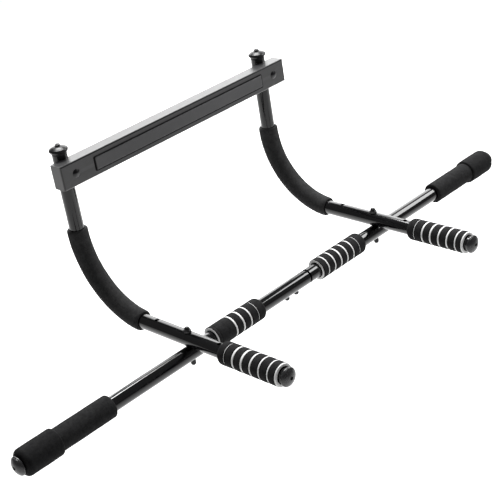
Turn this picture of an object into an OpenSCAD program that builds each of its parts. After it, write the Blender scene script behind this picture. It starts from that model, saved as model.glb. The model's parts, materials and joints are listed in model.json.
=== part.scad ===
// Doorway pull-up bar, bolted steel frame. Millimetres.
// Origin: middle of the bracket's underside, where it rests on the door trim.
// X runs along the crossbar, +Y points away from the user, +Z is up.

/* [Tube] */

// Outside diameter of every steel tube
tube_od = 22; // [18:0.5:32]
// Wall thickness of the steel tubes
tube_wall = 1.5; // [1:0.1:2.5]

/* [Bracket] */

// Length of the channel that hangs on the door trim
bracket_length = 451; // [380:1:560]
// Height of the channel
bracket_height = 36; // [28:1:50]
// Front-to-back depth of the channel
bracket_depth = 22; // [16:1:32]
// Thickness of the pressed sheet
bracket_sheet = 1.8; // [1.2:0.1:2]
// Radius of the folded edges and corners
bracket_fold = 2; // [2:0.1:5]
// Length of the thin pad that faces the wall
wall_pad_length = 343; // [250:1:400]
// How far that pad sits to the right of the middle
wall_pad_shift = 3.5; // [-10:0.5:10]
// Height of the thin pad that faces the wall
wall_pad_height = 22; // [16:1:30]
// Thickness of the thin pad that faces the wall
wall_pad_thick = 1.6; // [1:0.1:4]

/* [Arms] */

// Distance between the two arms, centre to centre
arm_spacing = 402; // [340:1:460]
// Distance from the channel's front face back to the post axis
post_setback = 30; // [26:0.5:36]
// Drop from the channel's underside to the arm axis
arm_drop = 195; // [160:1:230]
// Centre-line radius of the bend
bend_radius = 116; // [80:1:130]
// Height of the post's cut end above the channel's underside
post_top = 42; // [40:1:60]
// Distance from the origin forward to the arm's cut end
arm_reach = 365.5; // [340:0.5:420]

/* [Crossbar] */

// Distance from the origin forward to the crossbar axis
bar_reach = 184; // [150:1:220]
// Distance between the depth-setting holes
hole_pitch = 62; // [50:1:70]
// Length of the two crossbar tubes together
bar_length = 994; // [900:1:1060]
// Where the left tube ends and the swaged tube begins
joint_x = 35; // [20:1:50]
// Length of the swaged end inside the left tube
swage_length = 62; // [40:1:80]
// Reach of the gap at the joint
joint_gap = 4; // [0.5:0.1:6]

/* [Foam] */

// Outside diameter of the smooth foam on the crossbar
foam_od = 32.8; // [28:0.2:40]
// Outside diameter of the foam over the bends
curve_od = 30.6; // [26:0.2:38]
// How far before the end of the bend its foam stops
curve_stop = 5; // [1:0.5:12]
// Outside diameter of the pads that press on the door frame
jamb_od = 38.8; // [34:0.2:50]
// Radius of the pads' soft outer rims
jamb_round = 6.5; // [2:0.5:7.5]
// Distance from the middle to the inner end of the smooth foam
foam_start = 349.5; // [330:0.5:370]
// Distance from the middle to the inner end of the end pad
jamb_start = 439.5; // [420:0.5:450]
// Distance from the middle to the outer end of the end pad
jamb_end = 495.5; // [480:0.5:495.5]

/* [Grips] */

// Outside diameter of the striped grips
grip_od = 33; // [28:0.2:40]
// Diameter at the bottom of the grip's grooves
groove_d = 30; // [25:0.2:31]
// Width of the grooves that show the white layer
groove_w = 2.9; // [1.5:0.1:5]
// Width of the last groove, next to the shoulder
last_groove_w = 1; // [0.5:0.1:3]
// Radius of the grip's closed shoulder
shoulder_round = 5.5; // [2:0.5:5.5]
// Left arm grip: open end, length, first groove, groove spacing
left_arm_fit = [-360.3, 107.8, 14.8, 15.7]; // [-400:0.1:200]
// Right arm grip: open end, length, first groove, groove spacing
right_arm_fit = [-359.7, 102, 12.7, 14.9]; // [-400:0.1:200]
// Left inner grip: open end, length, first groove, groove spacing
left_inner_fit = [-160.8, 96, 5.6, 14.7]; // [-400:0.1:200]
// Right inner grip: open end, length, first groove, groove spacing
right_inner_fit = [60, 100.7, 12.4, 14.3]; // [-400:0.1:200]

/* [Fasteners] */

// Diameter of the cross bolts and bracket bolts
bolt_d = 6; // [5:0.5:8]
// Diameter of the holes they pass through
bolt_hole_d = 6.4; // [5.2:0.1:9]
// Diameter of the cross bolt's round head
cross_head_d = 8; // [7:0.1:12]
// Length of the cross bolt's round head
cross_head_h = 9.6; // [5:0.1:12]
// Across-flats size of the cap nuts
cap_nut_af = 10; // [8:0.5:13]
// Height of the cap nuts
cap_nut_h = 7.8; // [6:0.1:12]
// Diameter of the bracket bolt heads
bracket_head_d = 12.6; // [10:0.1:16]

/* [Hidden] */

$fn = 72;
r = tube_od / 2;
ri = r - tube_wall;
half_arm = arm_spacing / 2;
front_y = -bracket_depth / 2;
back_y = bracket_depth / 2;
post_y = front_y + post_setback;
arm_z = -arm_drop;
bar_y = -bar_reach;
bar_z = arm_z - tube_od;
bend_y = post_y - bend_radius;
bend_z = arm_z + bend_radius;
bolt_z = bracket_height / 2;
half_bar = bar_length / 2;
half_bracket = bracket_length / 2;
fit = 0.05;
plug_r = ri - fit;
layer_r = groove_d / 2;
grip_r = grip_od / 2;
lip_r = r + 2.5;
spigot_r = ri - fit;
screw_x = [joint_x - 43, joint_x - 23];

steel = [0.12, 0.12, 0.13];
foam = [0.18, 0.18, 0.18];
pale = [0.92, 0.92, 0.92];
plastic = [0.08, 0.08, 0.08];
plate = [0.3, 0.3, 0.31];

// A ring along +X from x = 0
module ring_x(len, ro, rin) {
  rotate([0, 90, 0]) difference() {
    cylinder(h = len, r = ro);
    translate([0, 0, -1]) cylinder(h = len + 2, r = rin);
  }
}

// A soft sleeve along +X from x = 0: ra rounds its first rim, rb its last
module sleeve_x(len, ro, ra, rb) {
  rotate([0, 90, 0]) rotate_extrude() union() {
    translate([r, 0]) square([ro - ra - r, ra]);
    translate([r, ra]) square([ro - r, len - ra - rb]);
    translate([r, len - rb]) square([ro - rb - r, rb]);
    intersection() {
      translate([ro - ra, ra]) circle(ra);
      translate([ro - ra, 0]) square([ra, ra]);
    }
    intersection() {
      translate([ro - rb, len - rb]) circle(rb);
      translate([ro - rb, len - rb]) square([rb, rb]);
    }
  }
}

// A plate in the YZ view with rounded corners, grown along X and centred
module rounded_bar(len, dep, hei, rad) {
  translate([-len / 2, 0, 0]) rotate([90, 0, 90]) linear_extrude(len)
    union() {
      translate([rad, 0]) square([dep - 2 * rad, hei]);
      translate([0, rad]) square([dep, hei - 2 * rad]);
      for (a = [rad, dep - rad]) for (b = [rad, hei - rad])
        translate([a, b]) circle(rad);
    }
}

// The pressed channel: web in front, a flange above and below, closed ends
module door_bracket() {
  color(steel) difference() {
    intersection() {
      translate([0, front_y, 0])
        rounded_bar(bracket_length, bracket_depth + 20, bracket_height, bracket_fold);
      // plan outline with rounded front corners
      linear_extrude(bracket_height) union() {
        translate([-half_bracket + bracket_fold, front_y])
          square([bracket_length - 2 * bracket_fold, bracket_depth]);
        translate([-half_bracket, front_y + bracket_fold])
          square([bracket_length, bracket_depth - bracket_fold]);
        for (s = [-1, 1]) translate([s * (half_bracket - bracket_fold), front_y + bracket_fold])
          circle(bracket_fold);
      }
    }
    translate([-half_bracket + bracket_sheet, front_y + bracket_sheet, bracket_sheet])
      cube([bracket_length - 2 * bracket_sheet, bracket_depth + 30,
            bracket_height - 2 * bracket_sheet]);
    // notches that cradle the posts
    for (s = [-1, 1]) translate([s * half_arm, post_y, -5]) {
      cylinder(h = bracket_height + 10, r = r);
      translate([0, 0, 5 + bracket_sheet + 2])
        cylinder(h = bracket_height - 2 * bracket_sheet - 4, r = r + 3);
    }
    // holes for the bracket bolts
    for (s = [-1, 1]) translate([s * half_arm, front_y - 5, bolt_z])
      rotate([-90, 0, 0]) cylinder(h = 12, d = bolt_hole_d);
  }
}

// Thin pad stuck to the channel's front face
module wall_pad() {
  color(foam) translate([wall_pad_shift - wall_pad_length / 2, front_y - wall_pad_thick,
                         bolt_z - wall_pad_height / 2])
    cube([wall_pad_length, wall_pad_thick, wall_pad_height]);
}

// Quarter bend from the post (up) to the arm (forward), ring section
module bend(ro, rin) {
  translate([0, bend_y, bend_z]) rotate([0, 90, 0])
    rotate_extrude(angle = 90) translate([bend_radius, 0])
      difference() { circle(ro); circle(rin); }
}

module arm_tube(s) {
  color(steel) translate([s * half_arm, 0, 0]) difference() {
    union() {
      translate([0, post_y, bend_z]) cylinder(h = post_top - bend_z, r = r);
      bend(r, ri);
      translate([0, bend_y, arm_z]) rotate([90, 0, 0])
        cylinder(h = arm_reach + bend_y, r = r);
    }
    translate([0, post_y, bend_z]) cylinder(h = post_top - bend_z + 1, r = ri);
    translate([0, bend_y, arm_z]) rotate([90, 0, 0])
      cylinder(h = arm_reach + bend_y + 1, r = ri);
    // three depth-setting holes, straight through
    for (k = [-1, 0, 1]) translate([0, bar_y + k * hole_pitch, arm_z - r - 1])
      cylinder(h = tube_od + 2, d = bolt_hole_d);
    // bracket bolt hole
    translate([0, post_y - r - 1, bolt_z]) rotate([-90, 0, 0])
      cylinder(h = tube_od + 2, d = bolt_hole_d);
  }
}
module left_arm_tube() { arm_tube(-1); }
module right_arm_tube() { arm_tube(1); }

// Mushroom cap pressed into the top of a post: collar, round-edged head, small nub
module post_cap(s) {
  color(plastic) translate([s * half_arm, post_y, post_top]) rotate_extrude() {
    difference() {
      union() {
        translate([0, -16]) square([plug_r, 16]);
        square([r + 0.1, 5]);
        translate([0, 3.2]) square([10.6, 5]);
        intersection() {
          translate([10.6, 5.9]) circle(3);
          translate([9, 2]) square([5, 8]);
        }
        intersection() {
          translate([0, 7]) square([11.5, 6]);
          translate([0, -10.03]) circle(22.03);
        }
        translate([0, 11]) square([3.9, 3.4]);
      }
      translate([-1, 9]) square([2.9, 10]);
      translate([-60, -60]) square([60, 90]);
    }
  }
}
module left_post_cap() { post_cap(-1); }
module right_post_cap() { post_cap(1); }

// Foam sleeve over the bend, a little short of its front end
module curve_foam(s) {
  color(foam) translate([s * half_arm, 0, 0]) {
    difference() {
      bend(curve_od / 2, r);
      translate([-40, bend_y - 60, arm_z - 40]) cube([80, 60 + curve_stop, 80]);
    }
    translate([0, post_y, bend_z]) difference() {
      cylinder(h = 5, d = curve_od);
      translate([0, 0, -1]) cylinder(h = 7, r = r);
    }
  }
}
module left_curve_foam() { curve_foam(-1); }
module right_curve_foam() { curve_foam(1); }

// Section of a grip's outer skin: the open end is at 0, the closed shoulder last.
// f holds open end, length, first groove and spacing; from is the first full groove
module grip_section(f, from) {
  len = f[1];
  difference() {
    translate([layer_r, 0]) square([grip_r - layer_r, len - shoulder_round]);
    for (k = [from : 5]) translate([layer_r + 0.25, f[2] + (k - 1) * f[3] - groove_w / 2])
      square([10, groove_w]);
    translate([layer_r + 0.25, f[2] + 5 * f[3] - last_groove_w / 2])
      square([10, last_groove_w]);
    // a closed-up groove leaves a shallow line
    if (from > 1) translate([grip_r - 0.4, f[2] - 0.4]) square([10, 0.8]);
  }
  // shoulder that closes down on the tube
  intersection() {
    translate([grip_r - shoulder_round, len - shoulder_round]) circle(shoulder_round);
    translate([r, len - shoulder_round]) square([grip_r - r, shoulder_round]);
  }
}
module grip_skin(f, from = 1) { rotate_extrude() grip_section(f, from); }
module grip_core(f) {
  rotate_extrude() translate([r, 0]) square([layer_r - r, f[1] - shoulder_round]);
}

// Arm grips: open end in front, shoulder behind
module arm_grip_pose(s, f) {
  translate([s * half_arm, f[0], arm_z]) rotate([-90, 0, 0]) children();
}
module left_arm_grip() { color(foam) arm_grip_pose(-1, left_arm_fit) grip_skin(left_arm_fit); }
module right_arm_grip() { color(foam) arm_grip_pose(1, right_arm_fit) grip_skin(right_arm_fit); }
module left_arm_grip_core() {
  color(pale) arm_grip_pose(-1, left_arm_fit) grip_core(left_arm_fit);
}
module right_arm_grip_core() {
  color(pale) arm_grip_pose(1, right_arm_fit) grip_core(right_arm_fit);
}

// Inner grips: open end to the left, shoulder to the right
module inner_grip_pose(f) { translate([f[0], bar_y, bar_z]) rotate([0, 90, 0]) children(); }
module left_inner_grip() { color(foam) inner_grip_pose(left_inner_fit) grip_skin(left_inner_fit, 3); }
module right_inner_grip() { color(foam) inner_grip_pose(right_inner_fit) grip_skin(right_inner_fit); }
module left_inner_grip_core() { color(pale) inner_grip_pose(left_inner_fit) grip_core(left_inner_fit); }
module right_inner_grip_core() {
  color(pale) inner_grip_pose(right_inner_fit) grip_core(right_inner_fit);
}

// Domed end plug along +Z: round-edged lip on the tube's cut end at z = 0
module end_plug() {
  rotate_extrude() difference() {
    union() {
      translate([0, -14]) square([plug_r, 14]);
      square([lip_r - 2, 4.2]);
      intersection() {
        translate([lip_r - 2, 2.2]) circle(2);
        translate([lip_r - 2, 0]) square([4, 5]);
      }
      intersection() {
        translate([0, 3.9]) square([lip_r - 0.9, 6]);
        translate([0, -10.8]) circle(19.6);
      }
    }
    translate([-1, 5]) square([3.5, 10]);
    translate([-60, -60]) square([60, 90]);
  }
}
module arm_plug(s) {
  color(plastic) translate([s * half_arm, -arm_reach, arm_z]) rotate([90, 0, 0]) end_plug();
}
module left_arm_plug() { arm_plug(-1); }
module right_arm_plug() { arm_plug(1); }

// Left half of the crossbar: plain tube that takes the swaged end
module crossbar_left_tube() {
  color(steel) difference() {
    translate([-half_bar, bar_y, bar_z]) ring_x(half_bar + joint_x, r, ri);
    translate([-half_arm, bar_y, bar_z - r - 1]) cylinder(h = tube_od + 2, d = bolt_hole_d);
    for (x = screw_x) translate([x, bar_y, bar_z - r - 1]) cylinder(h = 8, d = 4.2);
  }
}

// Right half of the crossbar with its swaged end
module crossbar_right_tube() {
  color(steel) difference() {
    translate([0, bar_y, bar_z]) rotate([0, 90, 0]) union() {
      translate([0, 0, joint_x + joint_gap])
        cylinder(h = half_bar - joint_x - joint_gap, r = r);
      translate([0, 0, joint_x - swage_length])
        cylinder(h = swage_length + 2, r = spigot_r);
    }
    translate([joint_x - swage_length - 1, bar_y, bar_z]) rotate([0, 90, 0])
      cylinder(h = half_bar + swage_length, r = spigot_r - tube_wall);
    translate([joint_x + joint_gap + 4, bar_y, bar_z]) rotate([0, 90, 0])
      cylinder(h = half_bar, r = ri);
    translate([half_arm, bar_y, bar_z - r - 1]) cylinder(h = tube_od + 2, d = bolt_hole_d);
    for (x = screw_x) translate([x, bar_y, bar_z - r - 1]) cylinder(h = 8, d = 4.2);
  }
}

module outer_foam(s) {
  color(foam) translate([s * foam_start, bar_y, bar_z]) rotate([0, 0, s > 0 ? 0 : 180])
    sleeve_x(jamb_start - foam_start, foam_od / 2, 2, 0.5);
}
module left_outer_foam() { outer_foam(-1); }
module right_outer_foam() { outer_foam(1); }

module jamb_pad(s) {
  color(foam) translate([s * jamb_start, bar_y, bar_z]) rotate([0, 0, s > 0 ? 0 : 180])
    sleeve_x(jamb_end - jamb_start, jamb_od / 2, 2, jamb_round);
}
module left_jamb_pad() { jamb_pad(-1); }
module right_jamb_pad() { jamb_pad(1); }

module bar_plug(s) {
  color(plastic) translate([s * half_bar, bar_y, bar_z]) rotate([0, s * 90, 0]) end_plug();
}
module left_bar_plug() { bar_plug(-1); }
module right_bar_plug() { bar_plug(1); }

// Cross bolt: round head below the crossbar, end inside the cap nut
module cross_bolt(s) {
  color(plate) translate([s * half_arm, bar_y, 0]) difference() {
    union() {
      translate([0, 0, bar_z - r]) cylinder(h = 2 * tube_od + 4.6, d = bolt_d);
      translate([0, 0, bar_z - r - cross_head_h + cross_head_d / 2])
        cylinder(h = cross_head_h - cross_head_d / 2, d = cross_head_d);
      translate([0, 0, bar_z - r - cross_head_h + cross_head_d / 2]) sphere(d = cross_head_d);
    }
    // socket for the key
    translate([0, 0, bar_z - r - cross_head_h - 1]) cylinder(h = 5, d = 4.6, $fn = 6);
  }
}
module left_cross_bolt() { cross_bolt(-1); }
module right_cross_bolt() { cross_bolt(1); }

// Cap nut: hexagon below, closed dome above
module cap_nut(s) {
  color(plate) translate([s * half_arm, bar_y, arm_z + r]) difference() {
    union() {
      intersection() {
        cylinder(h = 3.6, d = cap_nut_af / cos(30), $fn = 6);
        translate([0, 0, -2.4]) sphere(d = 14.6);
      }
      translate([0, 0, cap_nut_h - 4.2]) intersection() {
        sphere(r = 4.2);
        cylinder(h = 5, r = 5);
      }
      cylinder(h = cap_nut_h - 4.2, r = 4.2);
    }
    translate([0, 0, -1]) cylinder(h = 6.2, d = bolt_d + 2 * fit);
  }
}
module left_cap_nut() { cap_nut(-1); }
module right_cap_nut() { cap_nut(1); }

// Two short screws, from below, that lock the swaged end; heads seat on the tube
module joint_screws() {
  color(plate) for (x = screw_x) translate([x, bar_y, bar_z - r]) {
    translate([0, 0, -2.4]) cylinder(h = 9.4, d = 4);
    difference() {
      union() {
        translate([0, 0, -2.4]) cylinder(h = 3.2, d = 8.2);
        translate([0, 0, -2.4]) intersection() {
          sphere(d = 8.2);
          translate([0, 0, -5]) cylinder(h = 5, d = 10);
        }
      }
      translate([-20, 0, r]) rotate([0, 90, 0]) cylinder(h = 40, r = r);
    }
  }
}

// Round-headed bolts through the channel's web and the posts
module bracket_bolts() {
  color(plate) for (s = [-1, 1]) translate([s * half_arm, front_y, bolt_z]) {
    rotate([-90, 0, 0]) cylinder(h = post_setback + r + 8.4, d = bolt_d);
    intersection() {
      translate([0, 5.75, 0]) sphere(r = 8.55);
      rotate([90, 0, 0]) cylinder(h = 3, d = bracket_head_d);
    }
  }
}

module bracket_washers() {
  color(plate) for (s = [-1, 1]) translate([s * half_arm, post_y + r, bolt_z])
    rotate([-90, 0, 0]) difference() {
      cylinder(h = 1.2, d = 12);
      translate([0, 0, -1]) cylinder(h = 4, d = bolt_hole_d);
    }
}

module bracket_nuts() {
  color(plate) for (s = [-1, 1]) translate([s * half_arm, post_y + r + 1.2, bolt_z])
    rotate([-90, 0, 0]) difference() {
      cylinder(h = 5, d = 10 / cos(30), $fn = 6);
      translate([0, 0, -1]) cylinder(h = 7, d = bolt_d + 2 * fit);
    }
}

door_bracket();
wall_pad();
left_arm_tube();
right_arm_tube();
left_post_cap();
right_post_cap();
left_curve_foam();
right_curve_foam();
left_arm_grip();
right_arm_grip();
left_arm_grip_core();
right_arm_grip_core();
left_arm_plug();
right_arm_plug();
crossbar_left_tube();
crossbar_right_tube();
left_inner_grip();
right_inner_grip();
left_inner_grip_core();
right_inner_grip_core();
left_outer_foam();
right_outer_foam();
left_jamb_pad();
right_jamb_pad();
left_bar_plug();
right_bar_plug();
left_cross_bolt();
right_cross_bolt();
left_cap_nut();
right_cap_nut();
joint_screws();
bracket_bolts();
bracket_washers();
bracket_nuts();
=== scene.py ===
import json
import math

import bmesh
import bpy
from mathutils import Matrix, Vector, noise

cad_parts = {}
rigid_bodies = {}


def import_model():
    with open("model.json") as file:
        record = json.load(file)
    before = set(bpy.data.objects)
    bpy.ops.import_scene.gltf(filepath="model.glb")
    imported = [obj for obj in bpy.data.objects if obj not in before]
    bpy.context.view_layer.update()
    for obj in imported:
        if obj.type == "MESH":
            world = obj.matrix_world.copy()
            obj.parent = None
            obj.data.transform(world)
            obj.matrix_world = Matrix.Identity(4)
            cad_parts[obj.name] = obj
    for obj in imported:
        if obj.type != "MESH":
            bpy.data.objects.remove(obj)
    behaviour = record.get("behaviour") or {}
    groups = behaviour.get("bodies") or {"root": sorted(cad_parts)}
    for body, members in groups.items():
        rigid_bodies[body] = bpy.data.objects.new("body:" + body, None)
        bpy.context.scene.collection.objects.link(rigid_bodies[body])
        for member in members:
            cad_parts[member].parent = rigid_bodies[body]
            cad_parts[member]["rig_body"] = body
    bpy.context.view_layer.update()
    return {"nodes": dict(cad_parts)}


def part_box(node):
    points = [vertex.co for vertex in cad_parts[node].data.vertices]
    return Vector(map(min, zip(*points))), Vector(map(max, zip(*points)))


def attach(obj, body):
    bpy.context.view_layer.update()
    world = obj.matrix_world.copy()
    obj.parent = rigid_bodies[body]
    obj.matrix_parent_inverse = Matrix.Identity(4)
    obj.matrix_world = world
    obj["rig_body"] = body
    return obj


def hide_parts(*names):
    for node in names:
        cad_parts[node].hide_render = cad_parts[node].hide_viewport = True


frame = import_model()
nodes = frame["nodes"]
MM = 0.001


# ---------------------------------------------------------------- measures
def middle(node):
    lo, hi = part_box(node)
    return (lo + hi) / 2


bar = middle("crossbar_left_tube")
BAR_Y, BAR_Z = bar.y, bar.z
ARM_X = middle("right_cross_bolt").x
lo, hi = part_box("right_arm_tube")
TUBE_R = (hi.x - lo.x) / 2
ARM_Z = lo.z + TUBE_R
POST_Y = hi.y - TUBE_R
BODY = {n: o["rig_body"] for n, o in nodes.items()}


# ---------------------------------------------------------------- materials
class Mat:
    """A Principled material with small helpers for its node tree."""

    def __init__(self, name, base, rough, coat=0.0, coat_rough=0.1, sheen=0.0, spec=0.5):
        self.m = bpy.data.materials.new(name)
        self.m.use_nodes = True
        self.t = self.m.node_tree
        self.p = self.t.nodes["Principled BSDF"]
        self.p.inputs["Base Color"].default_value = (*base, 1)
        self.p.inputs["Roughness"].default_value = rough
        self.p.inputs["Coat Weight"].default_value = coat
        self.p.inputs["Coat Roughness"].default_value = coat_rough
        self.p.inputs["Sheen Weight"].default_value = sheen
        self.p.inputs["Specular IOR Level"].default_value = spec
        self.coord = self.t.nodes.new("ShaderNodeTexCoord")

    def link(self, a, b):
        self.t.links.new(a, b)

    def noise(self, scale, detail, rough):
        """Cloudy noise in object space; scale counts per metre."""
        n = self.t.nodes.new("ShaderNodeTexNoise")
        n.inputs["Scale"].default_value = scale
        n.inputs["Detail"].default_value = detail
        n.inputs["Roughness"].default_value = rough
        self.link(self.coord.outputs["Object"], n.inputs["Vector"])
        return n.outputs["Fac"]

    def cells(self, scale):
        """Distance to the nearest of many scattered points: a cellular grain."""
        n = self.t.nodes.new("ShaderNodeTexVoronoi")
        n.inputs["Scale"].default_value = scale
        self.link(self.coord.outputs["Object"], n.inputs["Vector"])
        return n.outputs["Distance"]

    def ramp(self, fac, stops):
        r = self.t.nodes.new("ShaderNodeValToRGB")
        els = r.color_ramp.elements
        while len(els) < len(stops):
            els.new(0.5)
        for e, (pos, col) in zip(els, stops):
            e.position = pos
            e.color = (*col, 1)
        self.link(fac, r.inputs["Fac"])
        return r.outputs["Color"]

    def spread(self, fac, lo, hi):
        """0 to 1 stretched to lo to hi."""
        n = self.t.nodes.new("ShaderNodeMapRange")
        n.inputs["To Min"].default_value = lo
        n.inputs["To Max"].default_value = hi
        self.link(fac, n.inputs["Value"])
        return n.outputs["Result"]

    def mix(self, fac, a, b):
        n = self.t.nodes.new("ShaderNodeMix")
        n.data_type = "RGBA"
        self.link(fac, n.inputs["Factor"])
        for v, sock in ((a, n.inputs["A"]), (b, n.inputs["B"])):
            if isinstance(v, tuple):
                sock.default_value = (*v, 1)
            else:
                self.link(v, sock)
        return n.outputs["Result"]

    def add(self, a, b, how="ADD"):
        """One sum or product; each side is a socket or a number."""
        n = self.t.nodes.new("ShaderNodeMath")
        n.operation = how
        for v, sock in ((a, n.inputs[0]), (b, n.inputs[1])):
            if isinstance(v, (int, float)):
                sock.default_value = v
            else:
                self.link(v, sock)
        return n.outputs[0]

    def bump(self, height, strength, distance):
        b = self.t.nodes.new("ShaderNodeBump")
        b.inputs["Strength"].default_value = strength
        b.inputs["Distance"].default_value = distance
        self.link(height, b.inputs["Height"])
        self.link(b.outputs["Normal"], self.p.inputs["Normal"])

    def edge_highlight_mask(self, lo, hi):
        """0 on flat faces, 1 on sharp outer edges; the mask for painted edge highlights."""
        g = self.t.nodes.new("ShaderNodeNewGeometry")
        return self.ramp(g.outputs["Pointiness"], [(lo, (0, 0, 0)), (hi, (1, 1, 1))])

    def fold(self):
        """1 on the rounded edge between a front face and a top face; the mask for a painted
        dark line there.
        """
        g = self.t.nodes.new("ShaderNodeNewGeometry")
        x = self.t.nodes.new("ShaderNodeSeparateXYZ")
        self.link(g.outputs["Normal"], x.inputs[0])
        both = self.add(self.add(x.outputs["Y"], -2.0, "MULTIPLY"), x.outputs["Z"], "MULTIPLY")
        return self.ramp(both, [(0.12, (0, 0, 0)), (0.45, (1, 1, 1))])

    def color(self, sock):
        self.link(sock, self.p.inputs["Base Color"])

    def rough(self, sock):
        self.link(sock, self.p.inputs["Roughness"])


def gloss_paint():
    """Black gloss enamel baked on steel tube: faint orange peel, fine handling marks."""
    m = Mat("gloss_black_paint", (0.004, 0.004, 0.0045), 0.14, coat=0.2, coat_rough=0.05)
    big = m.noise(14, 4, 0.55)
    m.color(m.ramp(big, [(0.35, (0.0018, 0.0018, 0.002)), (0.7, (0.0035, 0.0035, 0.004))]))
    fine = m.noise(240, 3, 0.6)
    m.rough(m.spread(m.add(big, fine, "MULTIPLY"), 0.05, 0.20))
    peel = m.noise(520, 2, 0.4)
    m.bump(peel, 0.05, 0.0004)
    return m.m


def bracket_paint():
    """Black semi-gloss powder coat with a fine tooth. Painted highlights lighten its sharp
    edges, and a painted dark line of lowered specular and coat runs along the fold.
    """
    m = Mat("satin_black_powder_coat", (0.011, 0.011, 0.012), 0.33, coat=0.1, coat_rough=0.25)
    big = m.noise(9, 5, 0.6)
    base = m.ramp(big, [(0.3, (0.007, 0.007, 0.0078)), (0.72, (0.014, 0.014, 0.015))])
    # painted highlight: sharp edges are lightened in the base colour
    m.color(m.mix(m.edge_highlight_mask(0.55, 0.63), base, (0.035, 0.035, 0.036)))
    m.rough(m.spread(m.noise(150, 4, 0.6), 0.26, 0.40))
    m.bump(m.noise(1500, 2, 0.5), 0.12, 0.00025)
    # painted shade: the fold loses its specular and coat, a dark line standing for a dark
    # reflection
    m.link(m.spread(m.fold(), 0.58, 0.05), m.p.inputs["Specular IOR Level"])
    m.link(m.spread(m.fold(), 0.1, 0.0), m.p.inputs["Coat Weight"])
    return m.m


def pad_skin():
    """Satin dark rubber sheet with a fine grain."""
    m = Mat("wall_pad_rubber", (0.05, 0.05, 0.052), 0.48)
    big = m.noise(16, 4, 0.6)
    m.color(m.ramp(big, [(0.3, (0.045, 0.045, 0.047)), (0.7, (0.058, 0.058, 0.06))]))
    m.rough(m.spread(m.noise(220, 3, 0.6), 0.42, 0.58))
    m.bump(m.cells(2600), 0.12, 0.0002)
    return m.m


def foam(name, dark, light, glow=0.25):
    """Closed-cell foam: fine open pores darkened at their centres as painted shade, slight
    mottling, soft sheen.
    """
    m = Mat(name, dark, 0.86, sheen=glow, spec=0.12)
    m.p.inputs["Sheen Roughness"].default_value = 0.6
    big = m.noise(160, 6, 0.75)
    pores = m.cells(900)
    grains = m.noise(2100, 2, 0.6)
    # painted shade: the pore centres are darkened to half the foam's colour
    pore_shade_mask = m.ramp(pores, [(0.05, (0, 0, 0)), (0.42, (1, 1, 1))])
    col = m.ramp(big, [(0.36, dark), (0.64, light)])
    pore_shade = tuple(c * 0.5 for c in dark)
    m.color(m.mix(pore_shade_mask, pore_shade, col))
    m.rough(m.spread(grains, 0.78, 0.95))
    m.bump(m.add(pores, m.add(grains, 0.4, "MULTIPLY")), 0.35, 0.00035)
    return m.m


def moulded(name, base, rough, spec):
    """Moulded plastic with a fine spark-eroded texture."""
    m = Mat(name, base, rough, spec=spec)
    big = m.noise(60, 4, 0.6)
    hi_c = tuple(c * 1.5 for c in base)
    m.color(m.ramp(big, [(0.3, base), (0.75, hi_c)]))
    m.rough(m.spread(m.noise(500, 3, 0.6), rough - 0.07, rough + 0.08))
    m.bump(m.noise(2400, 2, 0.5), 0.1, 0.0002)
    return m.m


def black_metal():
    """Black coated fasteners: glossy, with thin painted highlights lightening their edges."""
    m = Mat("black_coated_hardware", (0.006, 0.006, 0.0065), 0.24, spec=0.3)
    big = m.noise(180, 4, 0.6)
    base = m.ramp(big, [(0.3, (0.005, 0.005, 0.0055)), (0.7, (0.011, 0.011, 0.0115))])
    # painted highlight: sharp edges are lightened in the base colour
    m.color(m.mix(m.edge_highlight_mask(0.54, 0.64), base, (0.10, 0.10, 0.102)))
    m.rough(m.spread(m.noise(700, 3, 0.6), 0.17, 0.34))
    m.bump(m.noise(1800, 2, 0.5), 0.1, 0.0002)
    return m.m


M = {
    "tube": gloss_paint(),
    "bracket": bracket_paint(),
    "pad": pad_skin(),
    # painted shade: a darker material for the shadow gap round the wall pad
    "pad_gap_shade": foam("wall_pad_painted_gap_shade", (0.006, 0.006, 0.0065), (0.009, 0.009, 0.0095), 0.0),
    "foam": foam("black_foam", (0.008, 0.008, 0.0085), (0.019, 0.019, 0.0195), 0.0),
    "bend_foam": foam("bend_foam", (0.022, 0.022, 0.0225), (0.040, 0.040, 0.0405), 0.0),
    "end_foam": foam("end_pad_foam", (0.006, 0.006, 0.0065), (0.014, 0.014, 0.0145), 0.0),
    "white": foam("white_foam", (0.86, 0.86, 0.855), (0.93, 0.93, 0.925), 0.0),
    "plug": moulded("plug_plastic", (0.016, 0.016, 0.017), 0.26, 0.6),
    "cap": moulded("cap_plastic", (0.005, 0.005, 0.0055), 0.30, 0.35),
    "metal": black_metal(),
}


# ---------------------------------------------------------------- mesh tools
def finish_mesh(name, bm, mat, angle=35.0):
    bmesh.ops.recalc_face_normals(bm, faces=bm.faces)
    me = bpy.data.meshes.new(name)
    bm.to_mesh(me)
    bm.free()
    for f in me.polygons:
        f.use_smooth = True
    me.set_sharp_from_angle(angle=math.radians(angle))
    ob = bpy.data.objects.new(name, me)
    bpy.context.scene.collection.objects.link(ob)
    for mm in mat if isinstance(mat, (list, tuple)) else [mat]:
        me.materials.append(mm)
    return ob


def axes_for(direction):
    """Two unit vectors square to the direction."""
    d = Vector(direction).normalized()
    u = d.orthogonal().normalized()
    return d, u, d.cross(u)


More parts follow.
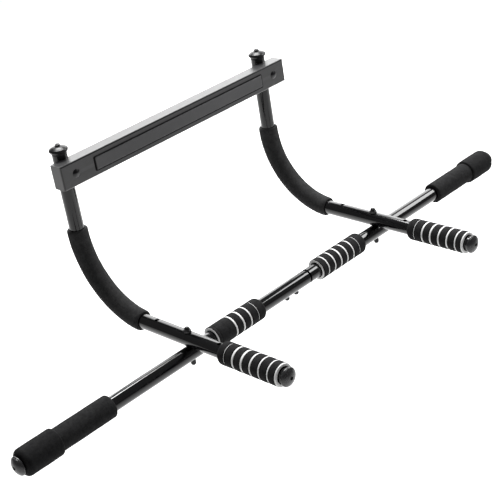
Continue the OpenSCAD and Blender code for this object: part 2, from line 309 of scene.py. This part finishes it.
def ring_mesh(name, profile, origin, direction, mat, seg=96, wave=0.0, seed=0, slots=None):
    """Revolves a closed profile of (along, radius) round an axis. wave is how far
    the radius wanders, as cut foam does. slots gives each profile edge its material."""
    d, u, v = axes_for(direction)
    o = Vector(origin)
    bm = bmesh.new()
    rings = []
    for i in range(seg):
        a = 2 * math.pi * i / seg
        dirv = u * math.cos(a) + v * math.sin(a)
        row = []
        for x, r in profile:
            rr = r
            if wave:
                q = o + d * x + dirv * r
                rr += wave * noise.noise(q * 60 + Vector((seed, 0, 0)))
            row.append(bm.verts.new(o + d * x + dirv * rr))
        rings.append(row)
    n = len(profile)
    for i in range(seg):
        a, b = rings[i], rings[(i + 1) % seg]
        for k in range(n):
            f = bm.faces.new((a[k], a[(k + 1) % n], b[(k + 1) % n], b[k]))
            if slots:
                f.material_index = slots[k]
    return finish_mesh(name, bm, mat)


def arc(cx, cr, rad, a0, a1, n=6):
    """Points of a quarter round in a profile; angles in degrees, 0 along the axis."""
    out = []
    for i in range(n + 1):
        a = math.radians(a0 + (a1 - a0) * i / n)
        out.append((cx + rad * math.cos(a), cr + rad * math.sin(a)))
    return out


def sleeve_profile(length, r_in, r_out, round_a, round_b, crown=0.0, cuts=24):
    """Closed profile of a foam sleeve with rounded rims and a slightly full side."""
    pts = [(0.0, r_in)]
    pts += arc(round_a, r_out - round_a, round_a, 180, 90)
    x0, x1 = round_a, length - round_b
    for i in range(1, cuts):
        t = i / cuts
        pts.append((x0 + (x1 - x0) * t, r_out + crown * math.sin(math.pi * t)))
    pts += arc(length - round_b, r_out - round_b, round_b, 90, 0)
    pts.append((length, r_in))
    return pts


def stands_for(ob, node):
    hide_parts(node)
    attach(ob, BODY[node])


# ---------------------------------------------------------------- striped grips
LAYER_R = 15.0 * MM      # outside of the white layer
LINER_R = 12.2 * MM      # outside of the black liner that shows at the open end
GAP = 0.03 * MM          # foam bore to tube
ROUND = 5.5 * MM         # shoulder at a grip's far end
RIM = 0.9 * MM           # rounding of the skin at the open end
EDGE = 0.45 * MM         # rounding of the skin beside a groove
SWELL = 0.1 * MM         # how far the skin stands out midway between grooves
LAP = 0.02 * MM          # small offset between faces of the skin and the layer
SEG = 112                # steps round a sleeve


def groove_list(first, pitch, start=1, widths=(2.9, 2.9, 2.9, 2.9, 2.9)):
    """Places of the grooves in mm from the open end: five wide, then a thin one.
    With start above 1 the wide ones before it are left out, for one faint line."""
    out = [(first + (k - 1) * pitch, widths[k - 1], 1.0) for k in range(start, 6)]
    out.append((first + 5 * pitch, 1.3, 1.0))
    if start > 1:
        out.insert(0, (first, 0.8, 0.28))
    return out


def grip(node, origin, direction, grooves, length, rad, seed, lip=0.5):
    """A three-layer foam grip. Each groove is (place, width, share of the skin's depth)."""
    r_in = TUBE_R + GAP
    full = rad - LAYER_R
    cuts = [(x * MM, w * MM, rad - full * share, share) for x, w, share in grooves]
    lip *= MM
    edges = [lip]
    for x, w, _, _ in cuts:
        edges += [x - w / 2, x + w / 2]
    edges.append(length)
    under = LAYER_R - 0.04 * MM
    floors = [LAYER_R - LAP] + [c[2] - LAP for c in cuts] + [LAYER_R]
    pts = []
    for k in range(len(cuts) + 1):
        x0, x1 = edges[2 * k], edges[2 * k + 1]
        fa, fb = floors[k], floors[k + 1]
        last = k == len(cuts)
        ra = RIM if k == 0 else min(EDGE, (rad - fa) * 0.8)
        rb = ROUND if last else min(EDGE, (rad - fb) * 0.8)
        pts.append((x0, fa))
        pts += arc(x0 + ra, rad - ra, ra, 180, 90, 5)
        for i in range(1, 6):
            t = i / 6
            pts.append((x0 + ra + (x1 - x0 - ra - rb) * t,
                        rad + SWELL * math.sin(math.pi * t)))
        pts += arc(x1 - rb, rad - rb, rb, 90, 4 if last else 0, 14 if last else 5)
        if not last:
            pts.append((x1, fb))
    # the shoulder lies on the tube, the rest on the white layer
    pts += [(length - 0.3 * MM, r_in), (length - ROUND, r_in),
            (length - ROUND, under), (lip, under)]
    skin = ring_mesh(node + "_foam", pts, origin, direction, M["foam"], SEG, 0.14 * MM, seed)
    stands_for(skin, node)
    # white middle layer, which rises into each full groove, and the liner's black face.
    # A wide lip shows the layer at the open end almost as full as the skin.
    low = LAYER_R - 0.06 * MM
    top = LAYER_R + 0.4 * MM if lip < MM else rad - 0.35 * MM
    core = [(0.12 * MM, LINER_R), (0.0, LINER_R + 0.2 * MM)]
    core += arc(lip * 0.45, top - lip * 0.45, lip * 0.45, 180, 90, 4)
    core += [(lip, top), (lip + LAP, low)]
    for x, w, _, share in cuts:
        if share < 1:
            continue
        sunk = 0.3 if w > 1.5 * MM else 0.38
        rise = full - sunk * MM
        core.append((x - w / 2 + LAP, low))
        for i in range(1, 8):
            t = i / 8
            core.append((x - w / 2 + w * t, low + rise * math.sin(math.pi * t) ** 0.45))
        core.append((x + w / 2 - LAP, low))
    end = length - ROUND - 0.1 * MM
    core += [(end, low), (end, r_in), (1.0 * MM, r_in), (1.0 * MM, LINER_R)]
    slots = [0] * (len(core) - 2) + [1, 1]
    layer = ring_mesh(node + "_white_layer", core, origin, direction,
                      [M["white"], M["foam"]], SEG, 0.06 * MM, seed + 3, slots)
    stands_for(layer, node + "_core")


GROOVES = {
    "left_arm_grip": groove_list(14.8, 15.7, 1, (3.0, 3.3, 3.7, 4.4, 4.2)),
    "right_arm_grip": groove_list(12.7, 14.9, 1, (3.1, 3.5, 3.7, 3.9, 3.6)),
    "left_inner_grip": groove_list(5.6, 14.7, 3, (0, 0, 3.8, 3.9, 3.5)),
    "right_inner_grip": groove_list(12.4, 14.3, 1, (3.0, 3.5, 3.8, 3.5, 3.2)),
}

for side, s in (("left", -1), ("right", 1)):
    node = side + "_arm_grip"
    lo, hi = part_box(node)
    grip(node, (s * ARM_X, lo.y, ARM_Z), (0, 1, 0), GROOVES[node],
         hi.y - lo.y, (hi.x - lo.x) / 2, 11 + s, 1.9)
    node = side + "_inner_grip"
    lo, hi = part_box(node)
    grip(node, (lo.x, BAR_Y, BAR_Z), (1, 0, 0), GROOVES[node],
         hi.x - lo.x, (hi.z - lo.z) / 2, 21 + s)

    # smooth sleeve and end pad; both run outwards from their inner ends
    for part, slot, mat, ra, rb, crown in (
            ("outer_foam", "black_foam", "foam", 2.2, 0.6, 0.1),
            ("jamb_pad", "pad_foam", "end_foam", 2.4, 6.5, 0.15)):
        node = side + "_" + part
        lo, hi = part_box(node)
        length, rad = hi.x - lo.x, (hi.z - lo.z) / 2
        x0 = hi.x if s < 0 else lo.x
        prof = sleeve_profile(length, TUBE_R + GAP, rad - 0.12 * MM,
                              ra * MM, rb * MM, crown * MM)
        ob = ring_mesh(node + "_sleeve", prof, (x0, BAR_Y, BAR_Z), (s, 0, 0),
                       M[mat], SEG, 0.18 * MM, 31 + s)
        stands_for(ob, node)


# ---------------------------------------------------------------- sleeves on the bends
BEND_R = 116 * MM        # centre line of the arm tube's bend


def bend_sleeve(side, s):
    """Foam over the quarter bend, with a short straight end up the post."""
    node = side + "_curve_foam"
    lo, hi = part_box(node)
    rad = (hi.x - lo.x) / 2
    cy, cz = POST_Y - BEND_R, ARM_Z + BEND_R
    stop = math.acos((lo.y - cy) / (BEND_R - rad))
    x = s * ARM_X
    top = hi.z
    path = []
    steps = 90
    path.append((Vector((x, POST_Y, top)), Vector((0, 0, -1))))
    for z in (top - 1.2 * MM, top - 2.4 * MM):
        path.append((Vector((x, POST_Y, z)), Vector((0, 0, -1))))
    for i in range(steps + 1):
        a = stop * i / steps
        path.append((Vector((x, cy + BEND_R * math.cos(a), cz - BEND_R * math.sin(a))),
                     Vector((0, -math.sin(a), -math.cos(a)))))
    total = len(path)
    seg = 80
    wander = 0.2 * MM
    bm = bmesh.new()
    outer, inner = [], []
    for k, (c, t) in enumerate(path):
        u = Vector((1, 0, 0))
        v = t.cross(u)
        ends = min(k, total - 1 - k)
        # the rim is rounded over the first rings from either end
        soft = {0: 1.6, 1: 0.45, 2: 0.1}.get(ends, 0.0) * MM
        orow, irow = [], []
        for i in range(seg):
            a = 2 * math.pi * i / seg
            dirv = u * math.cos(a) + v * math.sin(a)
            q = c + dirv * rad
            r = rad - 0.1 * MM - soft + wander * noise.noise(q * 45 + Vector((s * 7, 0, 0)))
            orow.append(bm.verts.new(c + dirv * r))
            irow.append(bm.verts.new(c + dirv * (TUBE_R + GAP)))
        outer.append(orow)
        inner.append(irow)
    for k in range(total - 1):
        for i in range(seg):
            j = (i + 1) % seg
            bm.faces.new((outer[k][i], outer[k][j], outer[k + 1][j], outer[k + 1][i]))
            bm.faces.new((inner[k][i], inner[k + 1][i], inner[k + 1][j], inner[k][j]))
    for k in (0, total - 1):
        for i in range(seg):
            j = (i + 1) % seg
            bm.faces.new((outer[k][i], inner[k][i], inner[k][j], outer[k][j]))
    ob = finish_mesh(node + "_sleeve", bm, M["bend_foam"], 40)
    stands_for(ob, node)


for side, s in (("left", -1), ("right", 1)):
    bend_sleeve(side, s)


# ---------------------------------------------------------------- wall pad
def wall_pad():
    """Thin moulded strip: a low border all round, then a raised face. The border takes a
    darker material, painted shade standing for a shadow gap.
    """
    lo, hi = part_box("wall_pad")
    c = (lo + hi) / 2
    w, h, t = (hi.x - lo.x), (hi.z - lo.z), (hi.y - lo.y)
    # each row: mm in from the outline, then how far out from the bracket
    rows = [(0.0, 0.0), (0.0, t * 0.3), (0.2, t * 0.42), (1.9, t * 0.42),
            (1.9, t * 0.7), (2.1, t * 0.9), (2.5, t), (3.5, t)]
    gap_shade_rows = 4
    bm = bmesh.new()
    loops = []
    for inset, out in rows:
        hw, hh = w / 2 - inset * MM, h / 2 - inset * MM
        rc = 2.5 * MM - min(inset, 2.5) * MM * 0.6
        loop = []
        for qx, qz, a0 in ((1, 1, 0), (-1, 1, 90), (-1, -1, 180), (1, -1, 270)):
            for i in range(7):
                a = math.radians(a0 + 15 * i)
                loop.append(bm.verts.new((c.x + qx * (hw - rc) + rc * math.cos(a), hi.y - out,
                                          c.z + qz * (hh - rc) + rc * math.sin(a))))
        loops.append(loop)
    n = len(loops[0])
    for k, (a, b) in enumerate(zip(loops, loops[1:])):
        for i in range(n):
            f = bm.faces.new((a[i], a[(i + 1) % n], b[(i + 1) % n], b[i]))
            # painted shade: the border rows take the darker material, standing for a shadow
            # gap round the pad
            f.material_index = 1 if k < gap_shade_rows else 0
    bm.faces.new(loops[0])
    bm.faces.new(loops[-1])
    ob = finish_mesh("wall_pad_strip", bm, [M["pad"], M["pad_gap_shade"]], 50)
    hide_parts("wall_pad")
    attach(ob, BODY["wall_pad"])


wall_pad()


# ---------------------------------------------------------------- carried-over CAD nodes
LOOK = {
    "door_bracket": "bracket",
    "joint_screws": "metal", "bracket_bolts": "bracket",
    "bracket_washers": "metal", "bracket_nuts": "metal",
}
for side in ("left", "right"):
    LOOK[side + "_arm_tube"] = "tube"
    LOOK["crossbar_" + side + "_tube"] = "tube"
    LOOK[side + "_post_cap"] = "cap"
    LOOK[side + "_arm_plug"] = "plug"
    LOOK[side + "_bar_plug"] = "plug"
    LOOK[side + "_cross_bolt"] = "metal"
    LOOK[side + "_cap_nut"] = "metal"
for name, look in LOOK.items():
    ob = nodes[name]
    ob.data.materials.clear()
    ob.data.materials.append(M[look])


# ---------------------------------------------------------------- stage, light, camera
FLOOR_Z, FLOOR_HALF = -0.85, 14.0


def floor():
    """A pale flat floor, far wider than the view."""
    me = bpy.data.meshes.new("floor")
    size, z = FLOOR_HALF, FLOOR_Z
    me.from_pydata([(-size, -size, z), (size, -size, z), (size, size, z), (-size, size, z)],
                   [], [(0, 1, 2, 3)])
    ob = bpy.data.objects.new("floor", me)
    bpy.context.scene.collection.objects.link(ob)
    m = Mat("floor_paper", (0.93, 0.93, 0.93), 0.9, spec=0.1)
    me.materials.append(m.m)


def softbox(name, at, target, size, power, size_y=None):
    """A square or oblong area light at one point, aimed at another."""
    la = bpy.data.lights.new(name, "AREA")
    la.shape = "RECTANGLE" if size_y else "SQUARE"
    la.size = size
    if size_y:
        la.size_y = size_y
    la.energy = power
    ob = bpy.data.objects.new(name, la)
    bpy.context.scene.collection.objects.link(ob)
    ob.location = at
    ob.rotation_mode = "QUATERNION"
    ob.rotation_quaternion = (Vector(target) - Vector(at)).to_track_quat("-Z", "Y")


floor()
# big pale backdrop behind the bar, overhead box over the floor, small box on the right
softbox("backdrop", (2.3, 2.55, 1.25), (0, 0, 0.0), 3.4, 100, 2.6)
softbox("overhead", (1.15, 1.5, 4.2), (0.85, 1.3, FLOOR_Z), 2.4, 400)
softbox("right_box", (0.95, -0.45, 0.55), (0.1, -0.15, -0.2), 0.6, 11)

WORLD_GLOW = 0.16
world = bpy.data.worlds.new("studio")
bpy.context.scene.world = world
world.use_nodes = True
wt = world.node_tree
bg = wt.nodes["Background"]
bg.inputs["Color"].default_value = (1, 1, 1, 1)
bg.inputs["Strength"].default_value = WORLD_GLOW

# the view of the photo: place in metres, then bearing, height angle and tilt
SENSOR_MM, LENS_MM = 36.0, 90.0
CAM_AT = (-1.1105, -1.3512, 0.6637)
AZ, EL, ROLL = math.radians(-41.92), math.radians(26.73), math.radians(-9.59)
cam_data = bpy.data.cameras.new("camera")
cam = bpy.data.objects.new("camera", cam_data)
bpy.context.scene.collection.objects.link(cam)
cam_data.sensor_width = SENSOR_MM
cam_data.lens = LENS_MM
cam_data.clip_start, cam_data.clip_end = 0.05, 100.0
back = Vector((math.sin(AZ) * math.cos(EL), -math.cos(AZ) * math.cos(EL), math.sin(EL)))
cam.location = CAM_AT
cam.rotation_mode = "QUATERNION"
turn = Matrix.Rotation(ROLL, 4, "Z").to_quaternion()
cam.rotation_quaternion = (-back).to_track_quat("-Z", "Y") @ turn
bpy.context.scene.camera = cam

bpy.context.scene.view_settings.view_transform = "Standard"
bpy.context.scene.view_settings.look = "None"
